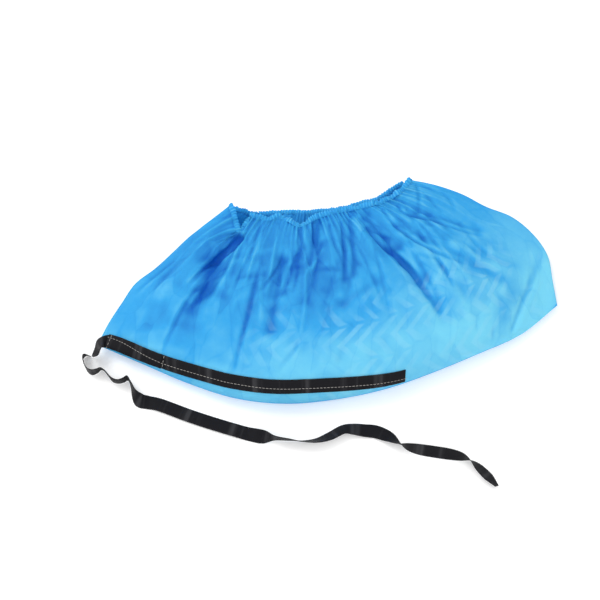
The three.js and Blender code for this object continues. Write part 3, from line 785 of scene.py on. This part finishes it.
def ribbon_finish(name, colours):
    """Black satin ribbon: fine cross ribs, woven edges and soft painted glints where it bends."""
    finish = Finish(name)
    where = finish.place()
    along, across = finish.cloth_map()
    ribs = along.ridges(RIB_PITCH)
    warp = across.ridges(WARP_PITCH)
    edge = abs(across).between(*RIBBON_EDGE)
    grain = finish.noise(where, 900.0, 3.0, 0.6)
    bends = finish.node("ShaderNodeCombineXYZ", None, {"X": along * 0.075})
    # Painted glints: lighter, glossier bands across the ribbon where it bends.
    glinting = finish.noise(bends, 1.0, 3.0, 0.6).between(0.5, 0.72)
    shade = glinting * 0.8 + grain * 0.15 + edge * 0.1
    base = finish.blend(shade, rgba(colours.ribbon), rgba(colours.ribbon_glint))
    roughness = 0.56 - glinting * 0.16 + edge * 0.1
    height = ribs * 0.6 + warp * 0.4 + edge * 1.4 + grain * 0.5
    return finish.output(finish.principled({
        "Base Color": base,
        "Roughness": roughness,
        "Specular IOR Level": 0.08,
        "Anisotropic": 0.4,
        "Normal": finish.bump(height, 0.0001, 0.6),
    }))


def thread_finish(name, colour):
    """Twisted sewing thread."""
    finish = Finish(name)
    where = finish.place()
    x, y, z = finish.split(where)
    twist = (x + y * 0.8 + z).zigzag(0.0005) * 4000
    fuzz = finish.noise(where, 3000.0, 2.0)
    base = finish.blend(fuzz * 0.5 + twist * 0.3, rgba(colour, 0.7), rgba(colour))
    return finish.output(finish.principled({
        "Base Color": base,
        "Roughness": 0.7,
        "Normal": finish.bump(twist + fuzz, 0.00005),
    }))


def floor_finish(colour):
    """White paper that gives off a little light, as a lit table does."""
    finish = Finish("studio_paper")
    grain = finish.noise(finish.place(), 120.0, 4.0)
    base = finish.blend(grain, rgba(colour, 0.985), rgba(colour))
    return finish.output(finish.principled({
        "Base Color": base,
        "Roughness": 0.9,
        "Emission Color": WHITE,
        "Emission Strength": FLOOR_GLOW,
    }))


# Stitches: one tree of geometry nodes that lays them along a path.


def stitch_tree(material):
    """Geometry nodes that lay one rounded stitch at every pitch along a path."""
    tree = bpy.data.node_groups.new("stitch_row", "GeometryNodeTree")
    face = tree.interface
    face.new_socket("Geometry", in_out="INPUT", socket_type="NodeSocketGeometry")
    sizes = {}
    for label, value in (("Pitch", 0.0026), ("Stitch length", 0.0021), ("Thread", 0.0004)):
        socket = face.new_socket(label, in_out="INPUT", socket_type="NodeSocketFloat")
        socket.default_value = value
        sizes[label] = socket.identifier
    face.new_socket("Geometry", in_out="OUTPUT", socket_type="NodeSocketGeometry")

    def node(kind, settings=None, **inputs):
        return add_node(tree, kind, settings, inputs)[0]

    given = tree.nodes.new("NodeGroupInput").outputs
    length, thread = given["Stitch length"], given["Thread"]
    aligned = "FunctionNodeAlignRotationToVector"
    path = node("GeometryNodeMeshToCurve", Mesh=given["Geometry"])
    spots = node("GeometryNodeResampleCurve", {"mode": "LENGTH"}, Curve=path, Length=given["Pitch"])
    out = node("GeometryNodeInputNamedAttribute", {"data_type": "FLOAT_VECTOR"}, Name="outward")
    ahead = node("GeometryNodeInputTangent")
    lie = node(aligned, {"axis": "X"}, Vector=ahead)
    turn = node(aligned, {"axis": "Z", "pivot_axis": "X"}, Rotation=lie, Vector=out)
    ball = node("GeometryNodeMeshUVSphere", Segments=8, Rings=6, Radius=0.5)
    size = node("ShaderNodeCombineXYZ", X=length, Y=thread, Z=thread)
    row = {"Points": spots, "Instance": ball, "Rotation": turn, "Scale": size}
    laid = node("GeometryNodeInstanceOnPoints", **row)
    real = node("GeometryNodeRealizeInstances", Geometry=laid)
    soft = node("GeometryNodeSetShadeSmooth", Geometry=real)
    done = node("GeometryNodeSetMaterial", Geometry=soft, Material=material)
    tree.links.new(done, tree.nodes.new("NodeGroupOutput").inputs[0])
    return tree, sizes


def stitch_rows(name, paths, material, pitch, length, thread):
    """Rows of stitches. paths hold (points, outward directions) in millimetres."""
    points, outward, edges = [], [], []
    for path, out in paths:
        start = len(points)
        points += (path * MM).tolist()
        outward += out.tolist()
        edges += [(start + i, start + i + 1) for i in range(len(path) - 1)]
    mesh = bpy.data.meshes.new(name)
    mesh.from_pydata(points, edges, [])
    attribute = mesh.attributes.new("outward", "FLOAT_VECTOR", "POINT")
    attribute.data.foreach_set("vector", np.array(outward, np.float32).ravel())
    piece = new_object(name, mesh)
    rows = piece.modifiers.new("stitches", "NODES")
    rows.node_group, inputs = stitch_tree(material)
    for label, value in (("Pitch", pitch), ("Stitch length", length), ("Thread", thread)):
        rows[inputs[label]] = value
    finish_modifiers(piece)
    piece.data.materials.clear()
    piece.data.materials.append(material)
    return piece


# The walls, from which the hem and the sewn ribbon take their places.


def wall_start(near):
    """A wall's outer face before its creases, on a grid of shares from heel to toe and rows from
    the sole to the mouth: its points, their run from the sole, the wall's width, how far each
    point lies below the hem, and its share along the sole."""
    round_rows, upper_rows = NEAR_ROWS if near else FAR_ROWS
    below_round = np.linspace(0, ROUND_SHARE, round_rows + 1)[:-1]
    rows = np.concatenate([below_round, np.linspace(ROUND_SHARE, 1, upper_rows)])
    u, share = np.meshgrid(np.linspace(0, 1, COLUMNS), rows, indexing="ij")
    rounding = HEIGHTS(u)[..., 1] if near else np.full(u.shape, float(UNDER_ROUND))
    angle = np.minimum(share / ROUND_SHARE, 1) * math.pi / 2
    rest = 1 - (1 - np.clip((share - ROUND_SHARE) / (1 - ROUND_SHARE), 0, 1)) ** 1.5
    width = wall_width(u, near)
    end = width - HEM_WIDTH / 2
    run = np.where(share < ROUND_SHARE, rounding * (1 - np.cos(angle)), mix(rounding, end, rest))
    return face_point(u, run, np.sin(angle), near), run, width, end - run, u


@functools.cache
def near_wall():
    """The upper wall's outer face with all its folds, and the painted light and shade at each
    point.
    """
    grid, run, width, below, u = wall_start(True)
    x, y = grid[..., 0], grid[..., 1]

    def from_mouth(rng):
        share = rng.uniform(0.05, 0.97)
        far_end, mouth = SOLE(share), MOUTH[True](share)
        start = mix(mouth, far_end, rng.uniform(-0.02, 0.45))
        return start[0], start[1], math.atan2(far_end[1] - mouth[1], far_end[0] - mouth[0])

    def anywhere(rng):
        share = rng.uniform(0.02, 0.98)
        start = mix(SOLE(share), MOUTH[True](share), rng.uniform(0, 0.8))
        return start[0], start[1], rng.uniform(0, math.pi)

    relief = creases(x, y, from_mouth, *MOUTH_CREASES) + creases(x, y, anywhere, *WALL_CREASES)
    relief *= (0.35 + 0.65 * openness(u)) * smooth(run / RANDOM_START)
    seams = smooth(u / SEAM_FADE) * smooth((1 - u) / SEAM_FADE)
    relief += named_creases(x, y) * smooth(run / NAMED_START) * seams
    relief += gathers(u, below, seed=7) * smooth(openness(u) * 3 + 0.25)
    grid = grid + grid_normals(grid) * relief[..., None]
    bend = np.stack([np.interp(u, RIM["share"], RIM[name]) for name in ("dx", "dy", "dz")], -1)
    grid = grid + bend * np.exp(-np.maximum(below, 0) / RIM_REACH)[..., None]

    # Painted light and shade: pale at the sole and towards the toe and the heel, painted shade deep
    # in its hollows, and the listed patches of painted shade and painted light.
    tone = 0.66 - 0.3 * smooth(run / width * 1.15) + painted_patches(x, y)
    tone += 0.16 * smooth((u - 0.66) / 0.3) + 0.08 * smooth((0.16 - u) / 0.16)
    passes, strength, low, high = WIDE_HOLLOW_SHADE
    tone = softened(tone - strength * np.clip(hollow(grid, passes), low, high), SHADING_PASSES)
    passes, strength, low, high = NARROW_HOLLOW_SHADE
    tone -= strength * softened(np.clip(hollow(grid, passes), low, high), 1)
    dark = np.minimum(tone / SHADING_LOW - 1, 0)
    return grid, np.where(tone < SHADING_LOW, SHADING_LOW * np.exp(dark), tone)


@functools.cache
def far_wall():
    """The lower wall's outer face, which lies on the surface, and the painted light and shade at
    each point: paler at the sole, deeper towards the mouth.
    """
    grid, run, width, below, u = wall_start(False)

    def anywhere(rng):
        return rng.uniform(-150, 160), rng.uniform(-85, 60), rng.uniform(0, math.pi)

    relief = gathers(u, below, seed=21) * 0.8
    relief += creases(grid[..., 0], grid[..., 1], anywhere, *UNDER_CREASES)
    height = grid[..., 2] + relief * smooth(grid[..., 2] / 1.5)
    grid[..., 2] = np.maximum(height, 0.02 + 0.25 * np.abs(relief))
    return grid, 0.62 - 0.25 * smooth(run / width)


def sewn_ribbon_frames():
    """Rows of points on the cloth across the sewn ribbon, from its end to the heel, the outward
    direction at each point, and each row's share along the sole."""
    grid = near_wall()[0]
    sources = grid, grid_normals(grid), arc(grid, 1)
    lane = Line(STRIP["along"], STRIP["up"])(np.linspace(0, 1, RIBBON_STEPS))
    rows = []
    for along, up in lane:
        at = along * (COLUMNS - 1)
        i = min(int(at), COLUMNS - 2)
        place, out, way = (mix(values[i], values[i + 1], at - i) for values in sources)
        columns = [np.interp(up + RIBBON_ACROSS, way, values) for values in (*place.T, *out.T)]
        rows.append(np.stack(columns, -1))
    rows = np.array(rows)
    return rows[..., :3], unit(rows[..., 3:]), lane[:, 0]


# The sizes and colours that a user would change.


def length_property(name, description, default):
    return bpy.props.FloatProperty(
        name=name, description=description, default=default, unit="LENGTH"
    )


def colour_property(name, description, default):
    return bpy.props.FloatVectorProperty(
        name=name, description=description, default=default, size=3, subtype="COLOR"
    )


class OvershoeSizes(bpy.types.PropertyGroup):
    """Sizes in metres"""

    cloth_gauge: length_property("Cloth gauge", "Thickness of the cloth", 0.0004)
    hem_pitch: length_property("Gather pitch", "Distance between the hem's gathers", 0.0025)
    ribbon_gauge: length_property("Ribbon gauge", "Thickness of the ribbon", 0.00045)
    stitch_pitch: length_property("Stitch pitch", "Distance between two stitches", 0.0027)
    thread_gauge: length_property("Thread gauge", "Thickness of the sewing thread", 0.00036)


class OvershoeColours(bpy.types.PropertyGroup):
    """Colours of the cloth, the ribbon, the thread and the floor"""

    cloth: colour_property("Cloth", "Main colour of the cloth", (0.045, 0.46, 0.88))
    # Painted shade: the colour of the cloth deep in a fold.
    cloth_shaded: colour_property(
        "Cloth in folds", "Colour of the cloth deep in a fold", (0.0, 0.12, 0.56)
    )
    cloth_pale: colour_property(
        "Pale cloth", "Colour where light comes through", (0.24, 0.82, 1.0)
    )
    cloth_glow: colour_property(
        "Light through cloth", "Colour of light that passes the cloth", (0.08, 0.62, 0.97)
    )
    tread: colour_property("Printed tread", "Colour of the anti-slip print", (0.36, 0.86, 1.0))
    ribbon: colour_property("Ribbon", "Colour of the ribbon", (0.005, 0.005, 0.007))
    # Painted glint: the colour of the ribbon's lighter bands where it bends.
    ribbon_glint: colour_property(
        "Glinting ribbon", "Colour of the ribbon where it is handled", (0.05, 0.05, 0.055)
    )
    thread: colour_property("Thread", "Colour of the sewing thread", (0.5, 0.48, 0.45))
    floor: colour_property("Floor", "Colour of the studio floor", (0.93, 0.93, 0.93))


def chosen(context):
    return context.scene.overshoe_sizes, context.scene.overshoe_colours


# Operators: one for the stage, and one for each piece or group of pieces.


def aimed(direction):
    """How a camera or a light is turned to look along a direction."""
    return direction.to_track_quat("-Z", "Y").to_euler()


class OVERSHOE_OT_stage(bpy.types.Operator):
    """Make the camera, the studio lights and the pale floor"""

    bl_idname = "overshoe.stage"
    bl_label = "Stage"

    def execute(self, context):
        colours = chosen(context)[1]
        scene = context.scene
        scene.view_settings.view_transform = "Standard"
        back = Vector((0, -math.cos(CAMERA_TILT), math.sin(CAMERA_TILT)))
        camera = new_object("camera", bpy.data.cameras.new("camera"))
        camera.data.lens = CAMERA_LENS
        camera.data.clip_end = CAMERA_REACH
        camera.location = Vector(CAMERA_TARGET) * MM + back * CAMERA_DISTANCE
        camera.rotation_euler = aimed(-back)
        scene.camera = camera

        for name, (place, size, power, tint) in LIGHTS.items():
            lamp = bpy.data.lights.new(name, "AREA")
            lamp.shape = "DISK"
            lamp.size = size
            lamp.energy = power
            lamp.color = tint
            light = new_object(name, lamp)
            light.location = place
            light.rotation_euler = aimed(-Vector(place))
        world = bpy.data.worlds.new("studio")
        world.use_nodes = True
        sky = world.node_tree.nodes["Background"].inputs
        sky["Color"].default_value = WHITE
        sky["Strength"].default_value = SKY_STRENGTH
        scene.world = world

        corners = [(x * FLOOR_HALF, y * FLOOR_HALF, FLOOR_Z)
                   for x, y in ((-1, -1), (1, -1), (1, 1), (-1, 1))]
        floor = new_piece("floor", corners, [(0, 1, 2, 3)])
        floor.data.materials.append(floor_finish(colours.floor))
        return {"FINISHED"}


class OVERSHOE_OT_free_ribbon(bpy.types.Operator):
    """Make the free end of the ribbon, which lies twisted on the floor"""

    bl_idname = "overshoe.free_ribbon"
    bl_label = "Free ribbon"

    def execute(self, context):
        sizes, colours = chosen(context)
        share = np.linspace(0, 1, TAIL_STEPS)
        rows = Line(*zip(*TAIL))(share)
        level, roll = rows[:, :2], np.radians(rows[:, 2])
        forward = np.pad(unit(np.gradient(level, axis=0)), [(0, 0), (0, 1)])
        left = np.stack([-forward[:, 1], forward[:, 0], np.zeros(TAIL_STEPS)], -1)
        up = np.array([0, 0, 1.0])
        across = left * np.cos(roll)[:, None] + up * np.sin(roll)[:, None]
        through = np.cross(forward, across)
        gauge = sizes.ribbon_gauge / MM
        height = (RIBBON_WIDTH * np.abs(np.sin(roll)) + gauge) / 2 + TAIL_GAP
        middle = np.column_stack([level, height])
        section = ribbon_profile(TAIL_STEPS, RIBBON_WIDTH, gauge)
        section[-TIP_STEPS:, :, 0] *= np.linspace(1, TIP_SHARE, TIP_STEPS)[:, None]
        cup = TAIL_CUP * np.cos(section[..., 0] / RIBBON_WIDTH * math.pi)
        section[..., 1] += cup * np.sin(share * TAIL_SWAY)[:, None]
        ribbon = swept("free_ribbon", middle, across, through, section, False)
        lift = max(0.0, TAIL_LOWEST - min(v.co.z for v in ribbon.data.vertices))
        for vertex in ribbon.data.vertices:
            vertex.co.z += lift
        ribbon.data.materials.append(ribbon_finish("satin_ribbon", colours))
        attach(ribbon, ROOT)
        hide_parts("ribbon_tail")
        return {"FINISHED"}


class OVERSHOE_OT_cloth(bpy.types.Operator):
    """Make the cover's cloth: one sheet folded at the sole and welded at the heel and toe"""

    bl_idname = "overshoe.cloth"
    bl_label = "Cloth"

    def execute(self, context):
        sizes, colours = chosen(context)
        near, near_painted_shading = near_wall()
        far, far_painted_shading = far_wall()
        sheet = np.concatenate([far[:, :0:-1], near], 1)
        # The painted light and shade of both walls.
        tone = np.clip(np.concatenate([far_painted_shading[:, :0:-1], near_painted_shading], 1), 0, 1)
        rows = sheet.shape[1]
        fold = slice(far.shape[1] - 1, far.shape[1])
        travelled = arc(sheet, 1)
        across = travelled - travelled[:, fold]
        along = np.repeat(arc(sheet[:, fold], 0), rows, 1)
        uv = np.stack([along, across], -1) / MAP_UNIT
        wall = new_piece("cover_cloth", sheet, grid_faces(COLUMNS, rows), uv, tone)
        thicken(wall, sizes.cloth_gauge, -1)
        wall.data.materials.append(cloth_finish("spunbond_cloth", colours, True))
        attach(wall, ROOT)
        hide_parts("cover_wall")
        return {"FINISHED"}


class OVERSHOE_OT_hem(bpy.types.Operator):
    """Make the gathered hem round the mouth, with the elastic inside"""

    bl_idname = "overshoe.hem"
    bl_label = "Gathered hem"

    def execute(self, context):
        sizes, colours = chosen(context)
        rims = []
        for grid, side in ((near_wall()[0], 1), (far_wall()[0], -1)):
            to_mouth = unit(grid[:, -1] - grid[:, -4])
            normal = grid_normals(grid)[:, -1] * side
            rims.append([values[::side] for values in (grid[:, -1], to_mouth, normal)])
        columns = [np.concatenate(pair)[::3] for pair in zip(*rims)]
        travelled, length, middle, across, out = even_ring(columns, HEM_STEPS)
        forward = unit(np.roll(middle, -1, 0) - np.roll(middle, 1, 0))
        out -= forward * np.sum(out * forward, 1)[:, None]
        out = unit(out)
        side = np.cross(forward, out)
        side *= np.sign(np.sum(side * across, 1))[:, None]

        # One ridge for each gather, unevenly spaced, and a slower rise and fall of the whole hem.
        rng = np.random.default_rng(9)
        sway = wander(rng, length, travelled, spacing=9, spread=1.1)
        lift = wander(rng, length, travelled, spacing=5, spread=1)
        phase = travelled / (sizes.hem_pitch / MM) * 2 * math.pi + sway
        ridge = 1 - np.abs(np.sin(phase / 2)) ** 0.8
        half_width = HEM_WIDTH / 2 * (1 + 0.08 * np.sin(phase) + 0.05 * lift)
        half_thick = HEM_THICK / 2 * (0.78 + (0.34 + 0.14 * lift) * ridge)
        shift = HEM_WIDTH * 0.12 + 0.16 * np.sin(phase + 0.6) + 0.25 * lift
        middle = middle + side * shift[:, None] + out * (0.4 * lift)[:, None]

        turn = np.arange(HEM_SIDES) / HEM_SIDES * 2 * math.pi
        lean = 0.125 * np.sin(phase + 1.1)[:, None] * np.cos(turn)
        flatter = 1 - 0.25 * np.cos(turn) ** 2
        width = half_width[:, None] * np.cos(turn)
        thick = half_thick[:, None] * np.sin(turn) * flatter + lean
        # Painted shade: the hem is paler on each gather's ridge and darker between the gathers.
        tone = (0.36 + (0.3 + 0.08 * lift) * ridge)[:, None] * np.ones(HEM_SIDES)
        profile = np.stack([width, thick], -1)
        hem = swept("gathered_hem", middle, side, out, profile, True, tone)
        hem.data.materials.append(cloth_finish("hem_cloth", colours, False))
        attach(hem, ROOT)
        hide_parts("elastic_hem")
        return {"FINISHED"}


class OVERSHOE_OT_sewn_ribbon(bpy.types.Operator):
    """Make the ribbon sewn along the sole, its lapped stretch and its flap"""

    bl_idname = "overshoe.sewn_ribbon"
    bl_label = "Sewn ribbon"

    def execute(self, context):
        sizes, colours = chosen(context)
        places, outs, along = sewn_ribbon_frames()
        lap = int(np.argmax(along < LAP_FROM))
        finish = ribbon_finish("sewn_satin_ribbon", colours)
        kinds = ("sole_ribbon", 0, SEWN_RISE), ("lapped_ribbon", lap, LAPPED_RISE)
        for name, first, rise in kinds:
            points = places[first:] + outs[first:] * rise
            if name == "sole_ribbon":
                points = np.concatenate([points, self.flap(points[-1])])
            rows = len(points)
            across = np.repeat(RIBBON_ACROSS[None], rows, 0)
            uv = np.stack([arc(points, 0), across], -1) / MAP_UNIT
            layer = new_piece(name, points, grid_faces(rows, RIBBON_POINTS)[:, ::-1], uv)
            thicken(layer, sizes.ribbon_gauge, 1)
            layer.data.materials.append(finish)
            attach(layer, ROOT)
        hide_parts("sole_strip")
        return {"FINISHED"}

    def flap(self, last):
        """The folded end past the heel, from the ribbon's last row of points."""
        wide = last[-1] - last[0]
        start = (*last[RIBBON_POINTS // 2], *(-wide / np.linalg.norm(wide)))
        columns = ((first, *rest) for first, rest in zip(start, FLAP.values()))
        rows = Line(*columns)(np.linspace(0, 1, FLAP_STEPS + 1)[1:])
        return rows[:, None, :3] - unit(rows[:, 3:])[:, None] * RIBBON_ACROSS[:, None]


class OVERSHOE_OT_stitches(bpy.types.Operator):
    """Sew the ribbon to the sole with light thread"""

    bl_idname = "overshoe.stitches"
    bl_label = "Stitches"

    def execute(self, context):
        sizes, colours = chosen(context)
        places, outs, along = sewn_ribbon_frames()
        down = np.interp(along, STITCH_LINE["along"][::-1], STITCH_LINE["down"][::-1])
        index = (1 - down) * (RIBBON_POINTS - 1)
        low = np.minimum(index.astype(int), RIBBON_POINTS - 2)
        share = (index - low)[:, None]
        row = np.arange(RIBBON_STEPS)
        line, out = (mix(at[row, low], at[row, low + 1], share) for at in (places, outs))
        gauge = sizes.ribbon_gauge / MM
        rise = np.where(along < LAP_FROM, LAPPED_STITCH_RISE, SEWN_STITCH_RISE)[:, None] + gauge
        paths = [(line + out * rise, out)]
        for at in (LAP_FROM, HEEL_STITCH):
            k = int(np.argmin(np.abs(along - at)))
            column = places[k] + outs[k] * (LAPPED_STITCH_RISE + gauge)
            paths.append((column[:-1], outs[k][:-1]))
        thread = thread_finish("light_thread", colours.thread)
        pitch = sizes.stitch_pitch
        length = pitch * STITCH_SHARE
        rows = stitch_rows("ribbon_stitches", paths, thread, pitch, length, sizes.thread_gauge)
        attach(rows, ROOT)
        return {"FINISHED"}


class OVERSHOE_PT_panel(bpy.types.Panel):
    bl_idname = "OVERSHOE_PT_panel"
    bl_label = "Overshoe"
    bl_space_type = "VIEW_3D"
    bl_region_type = "UI"
    bl_category = "Overshoe"

    def draw(self, context):
        for group in chosen(context):
            for name in group.__annotations__:
                self.layout.prop(group, name)
        for operator in OPERATORS:
            self.layout.operator(operator.bl_idname)


OPERATORS = (
    OVERSHOE_OT_stage,
    OVERSHOE_OT_free_ribbon,
    OVERSHOE_OT_cloth,
    OVERSHOE_OT_hem,
    OVERSHOE_OT_sewn_ribbon,
    OVERSHOE_OT_stitches,
)
CLASSES = (OvershoeSizes, OvershoeColours, *OPERATORS, OVERSHOE_PT_panel)


def register():
    for item in CLASSES:
        bpy.utils.register_class(item)
    bpy.types.Scene.overshoe_sizes = bpy.props.PointerProperty(type=OvershoeSizes)
    bpy.types.Scene.overshoe_colours = bpy.props.PointerProperty(type=OvershoeColours)


def unregister():
    del bpy.types.Scene.overshoe_sizes
    del bpy.types.Scene.overshoe_colours
    for item in reversed(CLASSES):
        bpy.utils.unregister_class(item)


def main():
    register()
    bpy.ops.overshoe.stage()
    bpy.ops.overshoe.free_ribbon()
    bpy.ops.overshoe.cloth()
    bpy.ops.overshoe.hem()
    bpy.ops.overshoe.sewn_ribbon()
    bpy.ops.overshoe.stitches()


if __name__ == "__main__":
    main()
